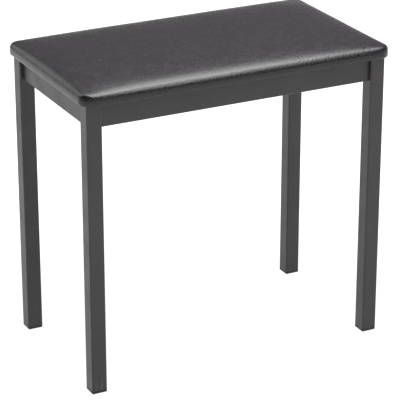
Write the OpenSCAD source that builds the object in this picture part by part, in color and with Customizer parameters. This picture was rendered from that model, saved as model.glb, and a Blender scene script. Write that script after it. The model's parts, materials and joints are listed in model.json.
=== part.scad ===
// Padded piano bench: four square steel legs joined under the seat by
// recessed rails, and a vinyl-covered seat bolted down from below.
// Millimetres. +X is to the right, +Y to the back and +Z up, with the
// origin on the floor under the middle of the seat.

/* [Frame] */
// Distance across the outsides of the legs, left to right
frame_length = 508; // [420:1:700]
// Distance across the outsides of the legs, front to back
frame_depth = 280; // [220:1:360]
// Height of the rail tops, where the seat rests, above the floor
frame_height = 470; // [380:1:560]
// Outside width of the square leg tube
leg_size = 25; // [20:1:32]
// Outside corner radius of the leg tube
leg_corner = 2.5; // [2:0.5:4]
// Height of the rail tube
rail_height = 38; // [30:1:50]
// Thickness of the rail tube
rail_width = 13; // [11:1:18]
// Outside corner radius of the rail tube
rail_corner = 2; // [2:0.5:3]
// Wall of all the steel tubes
tube_wall = 1.5; // [1:0.1:1.8]

/* [Feet] */
// Height of the part of a foot plug that shows below its leg
foot_flange = 5; // [3:0.5:8]
// Width of the bevel round a foot plug's lower edge
foot_bevel = 1; // [0.5:0.1:1.5]
// Depth that a foot plug reaches up into its leg
foot_depth = 18; // [10:1:30]

/* [Seat] */
// Distance that the seat stands out past the legs all round
seat_overhang = 8.5; // [6:0.5:14]
// Plan radius of the seat's corners
seat_corner = 20; // [10:1:24]
// Thickness of the plywood seat board
board_thickness = 9; // [8:1:15]
// Thickness of the vinyl sheet
vinyl_thickness = 1; // [0.8:0.1:1.4]
// Height of the crown of the seat above the rail tops
seat_height = 26; // [24:1:40]
// Width of the vinyl turned in under the board
hem_width = 40; // [36:1:45]

/* [Fixings] */
// Thickness of the corner gussets that carry the seat bolts
gusset_thickness = 3; // [2:0.5:4]
// Length of a gusset along each rail
gusset_side = 62; // [50:1:75]
// Distance between staples in a row, at the most
staple_pitch = 42; // [30:1:60]

/* [Hidden] */
$fn = 48;
eps = 0.05;

half_length = frame_length / 2;
half_depth = frame_depth / 2;
leg_x = half_length - leg_size / 2;
leg_y = half_depth - leg_size / 2;
rail_recess = (leg_size - rail_width) / 2;
rail_z = frame_height - rail_height / 2;
// Distance in from the legs' outsides to the rails' inner faces
rail_inner = rail_recess + rail_width;
long_rail_length = frame_length - 2 * leg_size;
end_rail_length = frame_depth - 2 * leg_size;
// The four corners, as signs of X and Y
CORNERS = [[-1, -1], [1, -1], [-1, 1], [1, 1]];

// Top cap of a leg
cap_thickness = 1.5;
cap_depth = 10;
plug_wall = 2;
plug_clearance = 0.15;

// Spigots welded to the legs, which the long rails slide over
spigot_length = 45;
spigot_clearance = 0.2;
spigot_height = rail_height - 2 * (tube_wall + spigot_clearance);
spigot_width = rail_width - 2 * (tube_wall + spigot_clearance);
spigot_corner = 1;

// Bolts, washers and nuts, all M6
bolt_r = 3;
bolt_hole_r = bolt_r + 0.3;
thread_r = bolt_r + 0.05;
head_r = 5.25;
head_height = 3.3;
socket_width = 4;
washer_r = 6.2;
washer_thickness = 1;
frame_bolt_x = half_length - leg_size - 22;
rail_inner_y = half_depth - rail_inner;
spigot_face_y = rail_inner_y + tube_wall + spigot_clearance;
rivet_nut_r = 4.5;
rivet_nut_length = spigot_width - tube_wall - 0.7;
frame_bolt_length = washer_thickness + tube_wall + rivet_nut_length - 0.4;
tee_barrel_r = 4;
tee_flange_r = 9.5;
tee_flange_thickness = 1.2;
tee_barrel_length = 7;

// Gussets lie between the rails, just under the dust cover
dust_thickness = 0.5;
gusset_top = frame_height - dust_thickness;
gusset_bottom = gusset_top - gusset_thickness;
seat_bolt_inset = 22;
seat_bolt_x = half_length - rail_inner - seat_bolt_inset;
seat_bolt_y = half_depth - rail_inner - seat_bolt_inset;
bead_size = 2.5;

// Seat, from the underside of the vinyl upwards
seat_length = frame_length + 2 * seat_overhang;
seat_depth = frame_depth + 2 * seat_overhang;
board_bottom = frame_height + vinyl_thickness;
board_top = board_bottom + board_thickness;
crease_z = board_top + 1.3;
crease_inset = 1.2;
crown_z = frame_height + seat_height;
cushion_height = crown_z - crease_z;
edge_round = 2;
// Sides of the cushion, as [inset from the seat's edge, share of its height]
CUSHION_PROFILE = [
    [crease_inset, 0], [0.1, 0.15], [-0.4, 0.28], [0.2, 0.43], [1.8, 0.57],
    [5, 0.69], [12, 0.8], [28, 0.905], [60, 0.975], [100, 1]
];

// Staples, in rows just inside the rails and clear of the gussets
staple_crown = 10;
staple_wire = 0.8;
staple_leg = 6;
staple_inset = rail_inner + 4;
staple_end = rail_inner + gusset_side + staple_crown;

// A rectangle with round corners, centred
module rounded_square(width, depth, radius) {
    square([width - 2 * radius, depth], center = true);
    square([width, depth - 2 * radius], center = true);
    for (corner = CORNERS)
        translate([corner.x * (width / 2 - radius), corner.y * (depth / 2 - radius)])
            circle(r = radius);
}

// A rectangular tube standing on the XY plane
module tube(width, depth, radius, wall, length) {
    inner_radius = max(radius - wall, 0.5);
    linear_extrude(height = length)
        difference() {
            rounded_square(width, depth, radius);
            rounded_square(width - 2 * wall, depth - 2 * wall, inner_radius);
        }
}

// A button-head bolt with its head at z = 0 to -head_height, shank upwards
module button_bolt(length) {
    difference() {
        union() {
            cylinder(r = bolt_r, h = length);
            translate([0, 0, -head_height * 0.35])
                cylinder(r = head_r, h = head_height * 0.35);
            translate([0, 0, -head_height])
                cylinder(r1 = head_r * 0.55, r2 = head_r, h = head_height * 0.65);
        }
        translate([0, 0, -head_height - eps])
            cylinder(d = socket_width / cos(30), h = 2 + eps, $fn = 6);
    }
}

module washer() {
    difference() {
        cylinder(r = washer_r, h = washer_thickness);
        translate([0, 0, -eps])
            cylinder(r = bolt_hole_r, h = washer_thickness + 2 * eps);
    }
}

// Puts its children at each frame bolt, with +Z pointing out of the bench
module at_frame_bolts(distance) {
    for (corner = CORNERS)
        translate([corner.x * frame_bolt_x, corner.y * distance, rail_z])
            rotate([-90 * corner.y, 0, 0])
                children();
}

// Puts its children at each seat bolt, at the height given
module at_seat_bolts(height) {
    for (corner = CORNERS)
        translate([corner.x * seat_bolt_x, corner.y * seat_bolt_y, height])
            children();
}

module leg(side_x, side_y) {
    color([0.19, 0.19, 0.2])
        translate([side_x * leg_x, side_y * leg_y, foot_flange])
            tube(leg_size, leg_size, leg_corner, tube_wall,
                frame_height - cap_thickness - foot_flange);
}

module end_rail(side_x) {
    color([0.19, 0.19, 0.2])
        translate([side_x * leg_x, -end_rail_length / 2, rail_z])
            rotate([-90, 0, 0])
                tube(rail_width, rail_height, rail_corner, tube_wall, end_rail_length);
}

// A long rail has one bolt hole through its inner wall at each end
module long_rail(side_y) {
    color([0.19, 0.19, 0.2])
        difference() {
            translate([-long_rail_length / 2, side_y * leg_y, rail_z])
                rotate([90, 0, 90])
                    tube(rail_width, rail_height, rail_corner, tube_wall,
                        long_rail_length);
            for (side_x = [-1, 1])
                translate([side_x * frame_bolt_x, side_y * (rail_inner_y - 1), rail_z])
                    rotate([-90 * side_y, 0, 0])
                        cylinder(r = bolt_hole_r, h = tube_wall + 2);
        }
}

// A three-cornered plate that fits round the leg and between the rails
module corner_gusset(side_x, side_y) {
    notch = leg_size - rail_inner;
    color([0.19, 0.19, 0.2])
        difference() {
            translate([side_x * (half_length - rail_inner),
                       side_y * (half_depth - rail_inner), gusset_bottom])
                linear_extrude(height = gusset_thickness)
                    polygon([
                        [-side_x * notch, 0],
                        [-side_x * gusset_side, 0],
                        [-side_x * gusset_side, -side_y * 6],
                        [-side_x * 6, -side_y * gusset_side],
                        [0, -side_y * gusset_side],
                        [0, -side_y * notch],
                        [-side_x * notch, -side_y * notch]
                    ]);
            translate([side_x * seat_bolt_x, side_y * seat_bolt_y, gusset_bottom - 1])
                cylinder(r = bolt_hole_r, h = gusset_thickness + 2);
        }
}

// A moulded insert with a flange that its leg stands on
module foot_plug(side_x, side_y) {
    insert_size = leg_size - 2 * (tube_wall + plug_clearance);
    color([0.1, 0.1, 0.1])
        translate([side_x * leg_x, side_y * leg_y, 0]) {
            hull() {
                linear_extrude(height = foot_bevel)
                    rounded_square(leg_size - 2 * foot_bevel,
                        leg_size - 2 * foot_bevel, leg_corner - foot_bevel);
                translate([0, 0, foot_bevel])
                    linear_extrude(height = foot_flange - foot_bevel)
                        rounded_square(leg_size, leg_size, leg_corner);
            }
            translate([0, 0, foot_flange])
                tube(insert_size, insert_size, 1, plug_wall, foot_depth);
        }
}

module leg_top_caps() {
    insert_size = leg_size - 2 * (tube_wall + plug_clearance);
    color([0.1, 0.1, 0.1])
        for (corner = CORNERS)
            translate([corner.x * leg_x, corner.y * leg_y, frame_height - cap_thickness]) {
                linear_extrude(height = cap_thickness)
                    rounded_square(leg_size, leg_size, leg_corner);
                translate([0, 0, -cap_depth])
                    tube(insert_size, insert_size, 1, plug_wall, cap_depth);
            }
}

// A three-sided bead that fills a right-angled inside corner along +Z
module bead(length) {
    linear_extrude(height = length)
        polygon([[0, 0], [bead_size, 0], [0, bead_size]]);
}

// Beads up the end rails' inner sides, and under the gussets along those rails
module weld_beads() {
    rail_bead = rail_height - 2 * rail_corner;
    gusset_bead = gusset_side - leg_size;
    color([0.17, 0.17, 0.18])
        for (corner = CORNERS)
            mirror([corner.x < 0 ? 1 : 0, 0, 0])
                mirror([0, corner.y < 0 ? 1 : 0, 0]) {
                    translate([half_length - rail_inner, half_depth - leg_size,
                               rail_z - rail_bead / 2])
                        rotate([0, 0, 180])
                            bead(rail_bead - gusset_thickness);
                    translate([half_length - rail_inner, half_depth - leg_size - 8,
                               gusset_bottom])
                        rotate([90, 180, 0])
                            bead(gusset_bead);
                }
}

// Short tubes inside the long rails' ends, each holding a rivet nut
module rail_spigots() {
    color([0.19, 0.19, 0.2])
        difference() {
            for (corner = CORNERS)
                translate([corner.x * (long_rail_length / 2 - spigot_length / 2)
                           - spigot_length / 2, corner.y * leg_y, rail_z])
                    rotate([90, 0, 90])
                        tube(spigot_width, spigot_height, spigot_corner, tube_wall,
                            spigot_length);
            at_frame_bolts(spigot_face_y - 1)
                cylinder(r = rivet_nut_r, h = tube_wall + 1.5);
        }
}

module rivet_nuts() {
    color([0.7, 0.7, 0.72])
        at_frame_bolts(spigot_face_y)
            difference() {
                cylinder(r = rivet_nut_r, h = rivet_nut_length);
                translate([0, 0, -eps])
                    cylinder(r = thread_r, h = rivet_nut_length + 2 * eps);
            }
}

module frame_bolts() {
    color([0.14, 0.14, 0.15])
        at_frame_bolts(rail_inner_y - washer_thickness)
            button_bolt(frame_bolt_length);
}

module frame_washers() {
    color([0.14, 0.14, 0.15])
        at_frame_bolts(rail_inner_y - washer_thickness)
            washer();
}

module seat_bolts() {
    bolt_length = board_top - gusset_bottom;
    color([0.14, 0.14, 0.15])
        at_seat_bolts(gusset_bottom - washer_thickness)
            button_bolt(bolt_length);
}

module seat_washers() {
    color([0.14, 0.14, 0.15])
        at_seat_bolts(gusset_bottom - washer_thickness)
            washer();
}

// Nuts pressed into the board from above, flanges level with its top
module tee_nuts() {
    color([0.7, 0.7, 0.72])
        at_seat_bolts(board_top)
            difference() {
                union() {
                    translate([0, 0, -tee_flange_thickness])
                        cylinder(r = tee_flange_r, h = tee_flange_thickness);
                    translate([0, 0, -tee_barrel_length])
                        cylinder(r = tee_barrel_r, h = tee_barrel_length);
                }
                translate([0, 0, -tee_barrel_length - eps])
                    cylinder(r = thread_r, h = tee_barrel_length + 2 * eps);
            }
}

module board_blank() {
    translate([0, 0, board_bottom])
        linear_extrude(height = board_thickness)
            rounded_square(seat_length - 2 * vinyl_thickness,
                seat_depth - 2 * vinyl_thickness, seat_corner - vinyl_thickness);
}

module seat_board() {
    color([0.72, 0.58, 0.4])
        difference() {
            board_blank();
            at_seat_bolts(board_bottom - 1)
                cylinder(r = tee_barrel_r, h = board_thickness + 2);
            at_seat_bolts(board_top - tee_flange_thickness)
                cylinder(r = tee_flange_r, h = tee_flange_thickness + 1);
            staple_legs();
        }
}

// A thin slice of the seat's plan at a height, shrunk by an inset
module seat_slice(inset, height) {
    radius = max(seat_corner - inset, 1);
    for (corner = CORNERS)
        translate([corner.x * (seat_length / 2 - inset - radius),
                   corner.y * (seat_depth / 2 - inset - radius), height])
            cylinder(r = radius, h = 0.01, $fn = 32);
}

// The crowned cushion above the crease, shrunk by the thickness of a skin
module cushion_form(skin, base) {
    hull() {
        seat_slice(crease_inset + skin, base);
        for (point = CUSHION_PROFILE)
            seat_slice(point[0] + skin,
                max(crease_z + point[1] * cushion_height - skin, base));
    }
}

// The straight band round the board, with a rounded lower edge
module band_form() {
    hull() {
        seat_slice(edge_round, frame_height);
        seat_slice(edge_round * 0.3, frame_height + edge_round * 0.3);
        seat_slice(0, frame_height + edge_round);
        seat_slice(0, board_top + 0.3);
        seat_slice(crease_inset, crease_z);
    }
}

module foam_pad() {
    color([0.85, 0.82, 0.7])
        cushion_form(vinyl_thickness, board_top);
}

// One skin over the foam and round the board, open inside its hem
module vinyl_cover() {
    color([0.2, 0.19, 0.2])
        difference() {
            union() {
                band_form();
                cushion_form(0, crease_z);
            }
            board_blank();
            cushion_form(vinyl_thickness, board_top);
            translate([0, 0, frame_height - 1])
                linear_extrude(height = vinyl_thickness + 1 + eps)
                    square([seat_length - 2 * hem_width, seat_depth - 2 * hem_width],
                        center = true);
            staple_legs();
        }
}

// Thin cloth under the board, cut off at its corners to clear the legs
module dust_cover() {
    half_x = half_length - rail_inner - 1.5;
    half_y = half_depth - rail_inner - 1.5;
    cut = 12;
    color([0.08, 0.08, 0.08])
        difference() {
            translate([0, 0, frame_height - dust_thickness])
                linear_extrude(height = dust_thickness)
                    polygon([
                        [cut - half_x, -half_y], [half_x - cut, -half_y],
                        [half_x, cut - half_y], [half_x, half_y - cut],
                        [half_x - cut, half_y], [cut - half_x, half_y],
                        [-half_x, half_y - cut], [-half_x, cut - half_y]
                    ]);
            at_seat_bolts(frame_height - dust_thickness - 1)
                cylinder(r = bolt_hole_r, h = dust_thickness + 2);
            staple_legs();
        }
}

// Puts its children at each staple, with the crown along local X
module at_staples() {
    long_reach = half_length - staple_end;
    long_steps = ceil(2 * long_reach / staple_pitch);
    short_reach = half_depth - staple_end;
    short_steps = ceil(2 * short_reach / staple_pitch);
    for (side = [-1, 1]) {
        for (i = [0 : long_steps])
            translate([long_reach * (2 * i / long_steps - 1),
                       side * (half_depth - staple_inset), gusset_top])
                children();
        for (i = [0 : short_steps])
            translate([side * (half_length - staple_inset),
                       short_reach * (2 * i / short_steps - 1), gusset_top])
                rotate([0, 0, 90])
                    children();
    }
}

module staple_legs() {
    at_staples()
        for (side = [-1, 1])
            translate([side * (staple_crown - staple_wire) / 2, 0, staple_leg / 2])
                cube([staple_wire, staple_wire, staple_leg], center = true);
}

module cover_staples() {
    color([0.75, 0.75, 0.77]) {
        at_staples()
            translate([0, 0, -staple_wire / 2])
                cube([staple_crown, staple_wire, staple_wire], center = true);
        staple_legs();
    }
}

leg(-1, -1);  // leg_front_left
leg(1, -1);  // leg_front_right
leg(-1, 1);  // leg_rear_left
leg(1, 1);  // leg_rear_right
end_rail(-1);  // end_rail_left
end_rail(1);  // end_rail_right
long_rail(-1);  // front_rail
long_rail(1);  // rear_rail
corner_gusset(-1, -1);  // corner_gusset_front_left
corner_gusset(1, -1);  // corner_gusset_front_right
corner_gusset(-1, 1);  // corner_gusset_rear_left
corner_gusset(1, 1);  // corner_gusset_rear_right
foot_plug(-1, -1);  // foot_plug_front_left
foot_plug(1, -1);  // foot_plug_front_right
foot_plug(-1, 1);  // foot_plug_rear_left
foot_plug(1, 1);  // foot_plug_rear_right
leg_top_caps();
weld_beads();
rail_spigots();
rivet_nuts();
frame_bolts();
frame_washers();
seat_bolts();
seat_washers();
tee_nuts();
seat_board();
foam_pad();
vinyl_cover();
dust_cover();
cover_staples();
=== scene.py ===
"""Looks of the padded piano bench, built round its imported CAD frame.

Everything is in metres in the CAD frame: +X right, +Y back, +Z up, with the
floor at z = 0. The tubes, plugs and fasteners are the CAD parts with finer
materials. The seat's foam, vinyl cover and dust cloth are made here.
"""

import json
import math

import bmesh
import bpy
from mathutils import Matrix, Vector, noise


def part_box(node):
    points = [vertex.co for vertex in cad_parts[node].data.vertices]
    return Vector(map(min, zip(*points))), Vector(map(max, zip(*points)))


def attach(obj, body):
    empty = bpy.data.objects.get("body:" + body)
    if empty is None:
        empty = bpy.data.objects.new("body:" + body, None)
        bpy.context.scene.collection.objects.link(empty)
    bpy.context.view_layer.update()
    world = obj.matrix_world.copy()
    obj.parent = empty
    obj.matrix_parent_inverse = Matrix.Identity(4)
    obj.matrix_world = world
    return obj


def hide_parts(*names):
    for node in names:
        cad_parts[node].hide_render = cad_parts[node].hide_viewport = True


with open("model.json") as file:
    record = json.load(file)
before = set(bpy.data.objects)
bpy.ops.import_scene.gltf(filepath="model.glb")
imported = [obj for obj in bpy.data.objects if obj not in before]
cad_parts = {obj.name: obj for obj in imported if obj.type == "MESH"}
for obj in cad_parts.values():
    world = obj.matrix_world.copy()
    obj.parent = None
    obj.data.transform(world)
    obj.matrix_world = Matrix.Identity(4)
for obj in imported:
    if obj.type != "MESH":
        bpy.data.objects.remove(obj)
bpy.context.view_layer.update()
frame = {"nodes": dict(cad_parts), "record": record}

MM = 0.001

# Places read from the frame
COVER_LOW, COVER_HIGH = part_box("vinyl_cover")
CLOTH_LOW, CLOTH_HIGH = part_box("dust_cover")
BOARD_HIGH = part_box("seat_board")[1]
LEG_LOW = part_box("leg_front_left")[0]


# ---------------------------------------------------------------- camera

# Where the camera looks from, in degrees round from the front and up from level, and
# in metres from the point that it looks at
VIEW_AZIMUTH = -27.0
VIEW_ELEVATION = 22.4
VIEW_DISTANCE = 3.273
VIEW_TARGET = Vector((0.0023, 0.0, 0.2248))
LENS_MM = 183.6
SENSOR_MM = 36.0


def make_camera():
    azimuth = math.radians(VIEW_AZIMUTH)
    elevation = math.radians(VIEW_ELEVATION)
    back = Vector((
        math.sin(azimuth) * math.cos(elevation),
        -math.cos(azimuth) * math.cos(elevation),
        math.sin(elevation),
    ))
    data = bpy.data.cameras.new("camera")
    data.lens = LENS_MM
    data.sensor_width = SENSOR_MM
    camera = bpy.data.objects.new("camera", data)
    camera.location = VIEW_TARGET + back * VIEW_DISTANCE
    camera.rotation_euler = (-back).to_track_quat("-Z", "Y").to_euler()
    bpy.context.scene.collection.objects.link(camera)
    bpy.context.scene.camera = camera


# ---------------------------------------------------------------- materials

class Nodes:
    """A material's node tree, with short calls for the nodes used here.

    The scale of noise or cells is about the number of lumps in a metre.
    """

    def __init__(self, name, **settings):
        self.material = bpy.data.materials.new(name)
        self.material.use_nodes = True
        self.tree = self.material.node_tree
        self.shader = self.tree.nodes["Principled BSDF"]
        for socket, value in settings.items():
            self.shader.inputs[socket.replace("_", " ")].default_value = value
        self.place = self.add("ShaderNodeTexCoord").outputs["Object"]

    def add(self, kind, inputs=None, **settings):
        """Adds a node, with links or values for its inputs by name or number."""
        node = self.tree.nodes.new(kind)
        for key, value in settings.items():
            setattr(node, key, value)
        for key, value in (inputs or {}).items():
            if isinstance(value, bpy.types.NodeSocket):
                self.tree.links.new(value, node.inputs[key])
            else:
                node.inputs[key].default_value = value
        return node

    def noise(self, scale, detail=3.0, roughness=0.5, vector=None):
        node = self.add("ShaderNodeTexNoise", {
            "Vector": vector or self.place, "Scale": scale,
            "Detail": detail, "Roughness": roughness,
        })
        return node.outputs["Fac"]

    def cells(self, scale, feature="F1"):
        node = self.add("ShaderNodeTexVoronoi", {
            "Vector": self.place, "Scale": scale,
        }, feature=feature)
        return node.outputs["Distance"]

    def stretch(self, x, y, z):
        """Places scaled along each axis, so that a small scale draws a pattern out."""
        node = self.add("ShaderNodeMapping", {"Vector": self.place, "Scale": (x, y, z)})
        return node.outputs["Vector"]

    def spread(self, value, low, high, to_low=0.0, to_high=1.0):
        """Maps low to high onto to_low to to_high, and holds it level outside them."""
        node = self.add("ShaderNodeMapRange", {
            "Value": value, "From Min": low, "From Max": high,
            "To Min": to_low, "To Max": to_high,
        })
        return node.outputs["Result"]

    def sum(self, a, b, weight=1.0):
        """a plus a weighted b."""
        node = self.add("ShaderNodeMath", {0: b, 1: weight, 2: a}, operation="MULTIPLY_ADD")
        return node.outputs["Value"]

    def product(self, a, b):
        node = self.add("ShaderNodeMath", {0: a, 1: b}, operation="MULTIPLY")
        return node.outputs["Value"]

    def blend(self, share, none, full):
        """A colour that goes from none to full as the share goes from 0 to 1."""
        node = self.add("ShaderNodeMix", data_type="RGBA")
        self.tree.links.new(share, node.inputs["Factor"])
        for socket, colour in ((node.inputs["A"], none), (node.inputs["B"], full)):
            if isinstance(colour, bpy.types.NodeSocket):
                self.tree.links.new(colour, socket)
            else:
                socket.default_value = (*colour, 1.0)
        return node.outputs["Result"]

    def height(self):
        return self.add("ShaderNodeSeparateXYZ", {"Vector": self.place}).outputs["Z"]

    def colour(self, value):
        self.tree.links.new(value, self.shader.inputs["Base Color"])

    def roughness(self, value):
        self.tree.links.new(value, self.shader.inputs["Roughness"])

    def bump(self, value, depth):
        node = self.add("ShaderNodeBump", {"Height": value, "Distance": depth, "Strength": 1.0})
        self.tree.links.new(node.outputs["Normal"], self.shader.inputs["Normal"])


def powder_coat():
    """Satin black powder coat: fine orange peel, a little dust and scuffed feet."""
    scuff_height = 0.05
    n = Nodes("powder_coat", Specular_IOR_Level=0.45)
    clouds = n.spread(n.noise(9.0, detail=4.0), 0.35, 0.65)
    base = n.blend(clouds, (0.0260, 0.0228, 0.0240), (0.0308, 0.0270, 0.0284))
    specks = n.spread(n.noise(420.0, detail=2.0), 0.66, 0.74)
    dusty = n.blend(specks, base, (0.060, 0.058, 0.059))
    near_floor = n.spread(n.height(), LEG_LOW.z, LEG_LOW.z + scuff_height, 1.0, 0.0)
    upright = n.stretch(1.0, 1.0, 0.12)
    scratches = n.spread(n.noise(260.0, roughness=0.6, vector=upright), 0.6, 0.72)
    n.colour(n.blend(n.product(near_floor, scratches), dusty, (0.075, 0.074, 0.074)))
    n.roughness(n.spread(n.noise(35.0, detail=4.0), 0.3, 0.7, 0.36, 0.46))
    fine_peel = n.noise(900.0, detail=2.0)
    broad_peel = n.noise(150.0, detail=2.0)
    n.bump(n.sum(fine_peel, broad_peel, weight=0.5), 0.12 * MM)
    return n.material


def vinyl():
    """Black grained vinyl: small pebbles with fine creases between them."""
    n = Nodes("vinyl", Specular_IOR_Level=0.44)
    pebbles = n.spread(n.cells(430.0, "SMOOTH_F1"), 0.0, 0.75, 1.0, 0.0)
    fine = n.noise(1300.0, roughness=0.6)
    uneven = n.noise(330.0, detail=2.0)
    clouds = n.spread(n.noise(11.0, detail=4.0), 0.3, 0.7)
    raised = n.blend(clouds, (0.0105, 0.0078, 0.0108), (0.0135, 0.0100, 0.0138))
    n.colour(n.blend(n.spread(pebbles, 0.2, 0.7), (0.006, 0.005, 0.006), raised))
    n.roughness(n.spread(n.noise(60.0, detail=4.0), 0.3, 0.7, 0.22, 0.30))
    grain = n.sum(pebbles, fine, weight=0.3)
    n.bump(n.sum(grain, uneven, weight=0.6), 0.24 * MM)
    return n.material


def moulded_plastic():
    """Matt black plastic with a finely sparked mould surface."""
    n = Nodes("moulded_plastic", Specular_IOR_Level=0.35)
    clouds = n.spread(n.noise(60.0), 0.3, 0.7)
    n.colour(n.blend(clouds, (0.015, 0.015, 0.018), (0.023, 0.023, 0.027)))
    n.roughness(n.spread(n.noise(200.0), 0.3, 0.7, 0.48, 0.62))
    n.bump(n.noise(1400.0, detail=2.0), 0.08 * MM)
    return n.material


def plated_steel(name, dark, light):
    """Zinc plate: faint spangle and fine turning marks."""
    n = Nodes(name, Metallic=1.0)
    spangle = n.spread(n.cells(260.0), 0.0, 0.8)
    n.colour(n.blend(spangle, dark, light))
    n.roughness(n.spread(n.noise(180.0), 0.3, 0.7, 0.28, 0.42))
    n.bump(n.noise(2200.0, detail=2.0, vector=n.stretch(1.0, 1.0, 0.1)), 0.03 * MM)
    return n.material


def black_oxide():
    """Blackened steel, slightly cloudy."""
    n = Nodes("black_oxide", Metallic=0.4)
    clouds = n.spread(n.noise(140.0, detail=4.0), 0.3, 0.7)
    n.colour(n.blend(clouds, (0.022, 0.022, 0.024), (0.045, 0.045, 0.048)))
    n.roughness(n.spread(n.noise(300.0), 0.3, 0.7, 0.32, 0.48))
    n.bump(n.noise(1800.0, detail=2.0), 0.04 * MM)
    return n.material


def plywood():
    """Rotary-cut face grain along X, and plies seen on the edges."""
    n = Nodes("plywood", Roughness=0.7)
    grain = n.noise(60.0, detail=5.0, roughness=0.6, vector=n.stretch(0.12, 1.0, 1.0))
    along = n.stretch(0.05, 1.0, 1.0)
    pores = n.spread(n.noise(520.0, detail=2.0, vector=along), 0.58, 0.7)
    ply = n.add("ShaderNodeTexWave", {
        "Vector": n.place, "Scale": 95.0, "Distortion": 0.4, "Detail": 1.0,
    }, bands_direction="Z")
    face = n.blend(n.spread(grain, 0.3, 0.7), (0.50, 0.33, 0.18), (0.66, 0.48, 0.29))
    pored = n.blend(pores, face, (0.30, 0.19, 0.10))
    dark_plies = n.product(ply.outputs["Fac"], n.spread(grain, 0.2, 0.9))
    n.colour(n.blend(dark_plies, pored, (0.40, 0.26, 0.14)))
    n.bump(n.sum(grain, pores, weight=-0.5), 0.12 * MM)
    return n.material


def open_cell_foam():
    """Cream foam with small open cells."""
    n = Nodes("open_cell_foam", Roughness=0.9)
    cells = n.spread(n.cells(700.0), 0.0, 0.6)
    n.colour(n.blend(cells, (0.34, 0.30, 0.20), (0.70, 0.64, 0.47)))
    n.bump(cells, 0.35 * MM)
    return n.material


def nonwoven_cloth():
    """Thin black spun cloth: crossed fibres and small bonded dots."""
    n = Nodes("nonwoven_cloth", Roughness=0.85, Sheen_Weight=0.15)
    lengthwise = n.noise(900.0, roughness=0.6, vector=n.stretch(0.15, 1.0, 1.0))
    crosswise = n.noise(900.0, roughness=0.6, vector=n.stretch(1.0, 0.15, 1.0))
    fibres = n.sum(lengthwise, crosswise)
    dots = n.spread(n.cells(600.0), 0.1, 0.35)
    lit = n.product(dots, n.spread(fibres, 0.7, 1.3))
    n.colour(n.blend(lit, (0.006, 0.006, 0.006), (0.028, 0.028, 0.029)))
    n.bump(n.sum(fibres, dots, weight=0.8), 0.15 * MM)
    return n.material


# By the material slots of the record
MATERIALS = {
    "frame_coat": powder_coat(),
    "black_plastic": moulded_plastic(),
    "black_fasteners": black_oxide(),
    "zinc": plated_steel("zinc_plate", (0.42, 0.42, 0.43), (0.62, 0.62, 0.64)),
    "staple_wire": plated_steel("staple_wire", (0.48, 0.48, 0.50), (0.70, 0.70, 0.72)),
    "plywood": plywood(),
    "foam": open_cell_foam(),
    "vinyl": vinyl(),
    "dust_cloth": nonwoven_cloth(),
}


def dress(piece, slot):
    piece.data.materials.clear()
    piece.data.materials.append(MATERIALS[slot])


def dress_cad_nodes():
    for entry in frame["record"]["subparts"]:
        dress(frame["nodes"][entry["node"]], entry["material_slot"])


# ---------------------------------------------------------------- mesh help

def add_piece(name, mesh):
    """Turns a finished bmesh into a smooth object in the scene."""
    bmesh.ops.recalc_face_normals(mesh, faces=mesh.faces)
    data = bpy.data.meshes.new(name)
    mesh.to_mesh(data)
    mesh.free()
    for face in data.polygons:
        face.use_smooth = True
    piece = bpy.data.objects.new(name, data)
    bpy.context.scene.collection.objects.link(piece)
    return piece


def fill_grid(mesh, rows):
    """Faces between neighbouring rows of vertices."""
    for row, beyond in zip(rows, rows[1:]):
        for i in range(len(row) - 1):
            mesh.faces.new((row[i], row[i + 1], beyond[i + 1], beyond[i]))


def thicken(piece, name, thickness):
    """Gives a sheet a thickness, behind the side that its normals point to."""
    solid = piece.modifiers.new(name, "SOLIDIFY")
    solid.thickness = thickness
    solid.offset = -1.0


def apply_modifiers(piece):
    graph = bpy.context.evaluated_depsgraph_get()
    data = bpy.data.meshes.new_from_object(piece.evaluated_get(graph))
    piece.modifiers.clear()
    piece.data = data


def ramp(value, length):
    """Rises evenly from 0 to 1 as the value goes from 0 to a length."""
    return min(max(value / length, 0.0), 1.0)


# ---------------------------------------------------------------- seat form

# Thickness of the CAD vinyl, and of the visible one, which stays clear of the board
SKIN = 1.0 * MM
COVER_THICKNESS = 0.8 * MM
# The seat's plan, then the heights of its crease, its widest line and its crown
SEAT_HALF = Vector((BOARD_HIGH.x + SKIN, BOARD_HIGH.y + SKIN))
SEAT_CORNER = 20 * MM
HEM_WIDTH = 40 * MM
CREASE_Z = BOARD_HIGH.z + 1.3 * MM
BULGE_Z = CREASE_Z + 0.5 * MM
CROWN_Z = COVER_HIGH.z
# The cloth is free to swell above this height
HELD_BELOW = CREASE_Z + 0.2 * MM

# How the cushion rises above its edge: a tight rim, a soft shoulder behind it, a
# slight dome over the whole seat, and the cloth's swell
RIM_RISE = 6.8 * MM
RIM_REACH = 4.2 * MM
DOME_RISE = 1.2 * MM
MOST_SWELL = 0.5 * MM
SHOULDER_RISE = CROWN_Z - BULGE_Z - RIM_RISE - DOME_RISE - MOST_SWELL
SHOULDER_REACH = 20 * MM
# How far a corner's pull reaches, and what it takes off the shoulder's rise, the
# rim's reach and the rim's rise there
CORNER_REACH = 45 * MM
CORNER_DIP = 0.9
CORNER_TIGHT = 0.8
CORNER_DROP = 0.12

# Distances of the finer grid lines from the seat's edge in millimetres, and the
# step of the others
EDGE_LINES = [0.0, 0.6, 1.4, 2.4, 3.6, 5.0, 6.8, 9.1, 12.0, 15.6, 20.0]
GRID_STEP = 5.5 * MM
# Points closer than this become one, and a shorter offset counts as none
WELD_DISTANCE = 0.002 * MM
TINY = 1e-6

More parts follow.
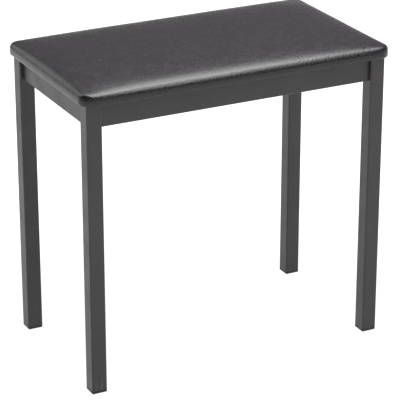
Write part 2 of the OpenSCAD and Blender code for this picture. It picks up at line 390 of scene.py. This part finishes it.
# Rings of the cover from its edge down and under, in millimetres: how far out from
# the edge, and how far above the crease or above the cover's underside
CREASE_RINGS = [
    (-0.15, 0.2), (-0.6, 0.0), (-0.95, -0.1), (-0.55, -0.3), (-0.3, -0.8),
    (-0.15, -2.0), (0.0, -4.0), (0.12, -6.0),
]
HEM_RINGS = [
    (0.1, 2.7), (-0.25, 1.3), (-1.0, 0.4), (-2.2, 0.0),
    (-8.0, 0.0), (-18.0, 0.0), (-28.0, 0.0), (-HEM_WIDTH / MM, 0.02),
]


def rings_above(z, rings):
    """Rings given in millimetres, as (outwards, height) in metres."""
    return [(out * MM, z + up * MM) for out, up in rings]


def grid_lines(half):
    """Places of the grid lines across the seat, from -half to half."""
    edge = [half - d * MM for d in EDGE_LINES]
    steps = max(1, round(edge[-1] / GRID_STEP))
    inner = [edge[-1] * i / steps for i in range(steps)]
    right = inner + edge[::-1]
    return [-p for p in right[:0:-1]] + right


def into_corner(x, y, half, radius):
    """Moves a point of the square-cornered seat into the round-cornered one."""
    s = (abs(x) - (half.x - radius)) / radius
    t = (abs(y) - (half.y - radius)) / radius
    if s <= 0 or t <= 0:
        return x, y
    px = half.x - radius + radius * s * math.sqrt(1 - t * t / 2)
    py = half.y - radius + radius * t * math.sqrt(1 - s * s / 2)
    return math.copysign(px, x), math.copysign(py, y)


def edge_distance(x, y, half, radius):
    """How far a point is inside the round-cornered seat's edge."""
    qx = abs(x) - (half.x - radius)
    qy = abs(y) - (half.y - radius)
    outside = math.hypot(max(qx, 0.0), max(qy, 0.0))
    return radius - outside - min(max(qx, qy), 0.0)


def cushion_height(x, y, half, radius, rim_z):
    inside = max(edge_distance(x, y, half, radius), 0.0)
    from_end = max(half.x - abs(x), 0.0)
    from_front = max(half.y - abs(y), 0.0)
    cornered = math.exp(-(from_end + from_front) / CORNER_REACH)
    rim_reach = RIM_REACH * (1 - CORNER_TIGHT * cornered)
    rim = RIM_RISE * (1 - CORNER_DROP * cornered) * (1 - math.exp(-inside / rim_reach))
    shoulder = SHOULDER_RISE * (1 - math.exp(-from_end / SHOULDER_REACH))
    shoulder *= 1 - math.exp(-from_front / SHOULDER_REACH)
    shoulder *= 1 - CORNER_DIP * cornered
    dome = DOME_RISE * (1 - (x / half.x) ** 2) * (1 - (y / half.y) ** 2)
    return rim_z + rim + shoulder + max(dome, 0.0)


def ring_point(edge, half, radius, out, z):
    """The point beside one on the seat's edge, moved outwards and to a height.

    A corner keeps its centre, and turns square once it is moved in past that.
    """
    core = Vector((
        math.copysign(min(abs(edge.x), half.x - radius), edge.x),
        math.copysign(min(abs(edge.y), half.y - radius), edge.y),
    ))
    arm = Vector((edge.x, edge.y)) - core
    reach = arm.length + out
    if reach >= 0:
        place = core + arm.normalized() * reach
        return place.x, place.y, z
    x, y = (
        math.copysign(abs(middle) + (reach if abs(side) > TINY else 0.0), middle)
        for middle, side in zip(core, arm)
    )
    return x, y, z


def seat_surface(half, radius, rim_z, rings):
    """A bmesh of the cushion's top as a grid, and rings from its edge down and under."""
    mesh = bmesh.new()
    grid = []
    for y in grid_lines(half.y):
        row = []
        for x in grid_lines(half.x):
            px, py = into_corner(x, y, half, radius)
            row.append(mesh.verts.new((px, py, cushion_height(px, py, half, radius, rim_z))))
        grid.append(row)
    fill_grid(mesh, grid)
    # Once round the grid's edge: along the front, the right, the back and the left
    loop = grid[0][:-1] + [row[-1] for row in grid[:-1]]
    loop += grid[-1][:0:-1] + [row[0] for row in grid[:0:-1]]
    last = loop
    for out, z in rings:
        ring = [mesh.verts.new(ring_point(v.co, half, radius, out, z)) for v in loop]
        for i in range(len(loop)):
            j = (i + 1) % len(loop)
            mesh.faces.new((last[i], ring[i], ring[j], last[j]))
        last = ring
    bmesh.ops.remove_doubles(mesh, verts=mesh.verts, dist=WELD_DISTANCE)
    return mesh


# ---------------------------------------------------------------- cloth

# Steps of the simulation, and passes that smooth the rise that it gives
SIM_FRAMES = 20
SMOOTH_PASSES = 30
CLOTH_SETTINGS = {
    "quality": 8,
    "mass": 0.6,
    "tension_stiffness": 40,
    "compression_stiffness": 40,
    "shear_stiffness": 20,
    "bending_stiffness": 2.0,
    "air_damping": 4,
    "use_pressure": True,
    "uniform_pressure_force": 4.0,
}

# Unevenness of the cushion: its depth, its waves per metre, and the height above the
# cushion's edge over which it fades in
UNEVEN_DEPTH = 0.25 * MM
UNEVEN_SCALE = 14.0
UNEVEN_FADE = 4 * MM


def swell(piece, held_below):
    """Lets the foam press the vinyl up, held below a height.

    The seat is stretched tight, so only the smooth rise of the cloth is kept, and
    it is scaled down to MOST_SWELL.
    """
    start = [v.co.copy() for v in piece.data.vertices]
    still = [before.z < held_below for before in start]
    held = piece.vertex_groups.new(name="held")
    held.add([i for i, fixed in enumerate(still) if fixed], 1.0, "REPLACE")
    cloth = piece.modifiers.new("cloth", "CLOTH")
    for key, value in CLOTH_SETTINGS.items():
        setattr(cloth.settings, key, value)
    cloth.settings.effector_weights.gravity = 0.0
    cloth.settings.vertex_group_mass = "held"
    cloth.collision_settings.use_collision = False
    cloth.point_cache.frame_start = 1
    cloth.point_cache.frame_end = SIM_FRAMES
    for step in range(1, SIM_FRAMES + 1):
        bpy.context.scene.frame_set(step)
    apply_modifiers(piece)
    bpy.context.scene.frame_set(1)
    rise = [max(v.co.z - before.z, 0.0) for v, before in zip(piece.data.vertices, start)]
    rise = smoothed(piece, rise, still)
    share = min(1.0, MOST_SWELL / max(rise))
    for vertex, before, up in zip(piece.data.vertices, start, rise):
        vertex.co = before + Vector((0, 0, up * share))
    piece.vertex_groups.clear()


def smoothed(piece, values, still):
    """Averages a value over neighbouring vertices, with the still ones at zero."""
    beside = [[] for _ in values]
    for edge in piece.data.edges:
        a, b = edge.vertices
        beside[a].append(b)
        beside[b].append(a)
    for _ in range(SMOOTH_PASSES):
        values = [
            0.0 if fixed else 0.5 * value + 0.5 * sum(values[i] for i in near) / len(near)
            for value, near, fixed in zip(values, beside, still)
        ]
    return values


def soft_unevenness(piece, above):
    """Slight unevenness of hand-wrapped foam, on the cushion only."""
    for vertex in piece.data.vertices:
        share = ramp(vertex.co.z - above, UNEVEN_FADE)
        vertex.co.z += UNEVEN_DEPTH * share * noise.noise(vertex.co * UNEVEN_SCALE)


# ---------------------------------------------------------------- seat pieces

def make_vinyl_cover():
    rings = rings_above(CREASE_Z, CREASE_RINGS) + rings_above(COVER_LOW.z, HEM_RINGS)
    cover = add_piece("seat_cover", seat_surface(SEAT_HALF, SEAT_CORNER, BULGE_Z, rings))
    swell(cover, HELD_BELOW)
    soft_unevenness(cover, BULGE_Z)
    thicken(cover, "skin", COVER_THICKNESS)
    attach(cover, "root")
    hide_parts("vinyl_cover")
    dress(cover, "vinyl")


# The dust cloth: quads along and across it, how much its corners are cut off, how it
# sags away from its edges and from the corner plates, and its puckers' depth and waves
# in radians per metre
CLOTH_QUADS = (76, 40)
CLOTH_CUT = 12 * MM
CLOTH_SAG = 2.2 * MM
CLOTH_EASE = 30 * MM
PLATE_REACH = 66 * MM
PUCKER_DEPTH = 0.25 * MM
PUCKER_WAVES = 260


def cloth_drop(x, y, half_x, half_y, limit):
    """How far the dust cloth hangs below the staples' line at a point."""
    free = ramp(min(limit - abs(x), half_y - abs(y)), CLOTH_EASE)
    from_corner = half_x - abs(x) + half_y - abs(y)
    free *= ramp(from_corner - PLATE_REACH, CLOTH_EASE)
    sag = CLOTH_SAG * free * free * (1 - (x / half_x) ** 2) * (1 - (y / half_y) ** 2)
    waves = math.sin(PUCKER_WAVES * x) * math.sin(PUCKER_WAVES * y)
    return sag + abs(PUCKER_DEPTH * free * (1 - free) * waves)


def make_dust_cloth():
    """A cloth sheet under the board that sags a little between its staples."""
    half_x, half_y = CLOTH_HIGH.x, CLOTH_HIGH.y
    along, across = CLOTH_QUADS
    mesh = bmesh.new()
    rows = []
    for j in range(across + 1):
        y = half_y * (2 * j / across - 1)
        limit = half_x - max(0.0, abs(y) - (half_y - CLOTH_CUT))
        row = []
        for i in range(along + 1):
            x = limit * (2 * i / along - 1)
            z = CLOTH_HIGH.z - cloth_drop(x, y, half_x, half_y, limit)
            row.append(mesh.verts.new((x, y, z)))
        rows.append(row)
    fill_grid(mesh, rows)
    cloth = add_piece("dust_cloth", mesh)
    thicken(cloth, "thickness", CLOTH_HIGH.z - CLOTH_LOW.z)
    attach(cloth, "root")
    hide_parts("dust_cover")
    dress(cloth, "dust_cloth")


# The foam: how far it is inside the cover's edge, how far its own edge is below the
# cover's, its rings in millimetres, measured like the cover's but from the board, and
# how far all that is higher than its lip is pressed down
FOAM_INSET = 1.6 * MM
FOAM_DROP = 0.8 * MM
FOAM_RINGS = [(-0.8, 2.2), (-1.2, 0.1), (-6.0, 0.05)]
FOAM_LIP = 1.0 * MM
FOAM_PRESSED = 0.6 * MM


def make_foam():
    """The foam block under the vinyl, cut a little smaller all round."""
    half = SEAT_HALF - Vector((FOAM_INSET, FOAM_INSET))
    rings = rings_above(BOARD_HIGH.z, FOAM_RINGS)
    mesh = seat_surface(half, SEAT_CORNER - FOAM_INSET, BULGE_Z - FOAM_DROP, rings)
    underside = [edge for edge in mesh.edges if edge.is_boundary]
    bmesh.ops.contextual_create(mesh, geom=underside)
    foam = add_piece("foam_core", mesh)
    for vertex in foam.data.vertices:
        if vertex.co.z > BOARD_HIGH.z + FOAM_LIP:
            vertex.co.z -= FOAM_PRESSED
    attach(foam, "root")
    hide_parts("foam_pad")
    dress(foam, "foam")


# ---------------------------------------------------------------- studio

# The floor: half its side, its painted glow under the bench and beyond it (less under the
# bench, as painted shade), and where the glow changes, in metres from the bench's middle
FLOOR_HALF = 30.0
FLOOR_GLOW = (1.03, 1.27)
FLOOR_GLOW_REACH = (0.25, 0.7)

# The two walls of the studio: a direction, the cosines of the angle to it where the
# glow starts and is full, and the brightness before and after
WALLS = [
    ((0.45, 0.89, 0.0), -0.7, 0.4, 0.11, 0.28),
    ((-0.42, 0.8, 0.55), 0.88, 0.98, 0.0, 1.5),
]

# A bank of strip lights over the bench, each along X: the middle of its strips, their
# length, where the first starts, their step, and their brightness from front to back
BANK_X, BANK_Z = 0.41, 1.8
BANK_LENGTH = 1.3
BANK_FRONT, BANK_STEP = -1.55, 0.3
BANK_GLOW = [4.4, 4.6, 5.0, 7.2, 11.6, 8.4, 5.5, 4.8, 3.7, 2.0]


def smooth_step(tree, value, from_range, to_range):
    """A node that maps one range onto another with a smooth start and end."""
    node = tree.nodes.new("ShaderNodeMapRange")
    node.interpolation_type = "SMOOTHSTEP"
    node.inputs["From Min"].default_value, node.inputs["From Max"].default_value = from_range
    node.inputs["To Min"].default_value, node.inputs["To Max"].default_value = to_range
    tree.links.new(value, node.inputs["Value"])
    return node.outputs["Result"]


def floor_painted_glow():
    """A floor that glows white as painted light, hiding its shadows, and glows less near the
    bench as painted shade; clear from below.
    """
    material = bpy.data.materials.new("floor_painted_glow")
    material.use_nodes = True
    tree = material.node_tree
    shader = tree.nodes["Principled BSDF"]
    shader.inputs["Base Color"].default_value = (0.08, 0.08, 0.08, 1.0)
    shader.inputs["Roughness"].default_value = 0.9
    shader.inputs["Specular IOR Level"].default_value = 0.1
    shader.inputs["Emission Color"].default_value = (1.0, 1.0, 1.0, 1.0)
    place = tree.nodes.new("ShaderNodeTexCoord")
    reach = tree.nodes.new("ShaderNodeVectorMath")
    reach.operation = "LENGTH"
    tree.links.new(place.outputs["Object"], reach.inputs[0])
    # Painted light: the floor glows, and glows less near the bench as painted shade
    glow = smooth_step(tree, reach.outputs["Value"], FLOOR_GLOW_REACH, FLOOR_GLOW)
    tree.links.new(glow, shader.inputs["Emission Strength"])
    clear = tree.nodes.new("ShaderNodeBsdfTransparent")
    side = tree.nodes.new("ShaderNodeNewGeometry")
    mix = tree.nodes.new("ShaderNodeMixShader")
    tree.links.new(side.outputs["Backfacing"], mix.inputs["Fac"])
    tree.links.new(shader.outputs["BSDF"], mix.inputs[1])
    tree.links.new(clear.outputs["BSDF"], mix.inputs[2])
    tree.links.new(mix.outputs["Shader"], tree.nodes["Material Output"].inputs["Surface"])
    return material


def make_floor():
    size = FLOOR_HALF
    corners = [(-size, -size, 0), (size, -size, 0), (size, size, 0), (-size, size, 0)]
    data = bpy.data.meshes.new("floor")
    data.from_pydata(corners, [], [(0, 1, 2, 3)])
    data.materials.append(floor_painted_glow())
    floor = bpy.data.objects.new("floor", data)
    bpy.context.scene.collection.objects.link(floor)


def make_walls():
    """The studio's walls, as a world whose glows over directions add up."""
    world = bpy.data.worlds.new("studio")
    world.use_nodes = True
    tree = world.node_tree
    background = tree.nodes["Background"]
    background.inputs["Strength"].default_value = 1.0
    direction = tree.nodes.new("ShaderNodeTexCoord")
    glow = tree.nodes.new("ShaderNodeMath")
    for i, (toward, low, high, dim, bright) in enumerate(WALLS):
        facing = tree.nodes.new("ShaderNodeVectorMath")
        facing.operation = "DOT_PRODUCT"
        facing.inputs[1].default_value = Vector(toward).normalized()
        tree.links.new(direction.outputs["Generated"], facing.inputs[0])
        shade = smooth_step(tree, facing.outputs["Value"], (low, high), (dim, bright))
        tree.links.new(shade, glow.inputs[i])
    tree.links.new(glow.outputs["Value"], background.inputs["Color"])
    bpy.context.scene.world = world


def strip_light(name, x, y, z, brightness):
    """A strip that faces down and has the same brightness all over."""
    data = bpy.data.lights.new(name, "AREA")
    data.shape = "RECTANGLE"
    data.size = BANK_LENGTH
    data.size_y = BANK_STEP
    data.energy = brightness * math.pi * BANK_LENGTH * BANK_STEP
    light = bpy.data.objects.new(name, data)
    light.location = (x, y, z)
    light.rotation_euler = Vector((0, 0, -z)).to_track_quat("-Z", "Y").to_euler()
    light.visible_camera = False
    bpy.context.scene.collection.objects.link(light)


def make_light_bank():
    for i, brightness in enumerate(BANK_GLOW):
        y = BANK_FRONT + (i + 0.5) * BANK_STEP
        strip_light("bank_%02d" % i, BANK_X, y, BANK_Z, brightness)


make_camera()
dress_cad_nodes()
make_vinyl_cover()
make_dust_cloth()
make_foam()
make_floor()
make_walls()
make_light_bank()
bpy.context.scene.view_settings.view_transform = "Standard"
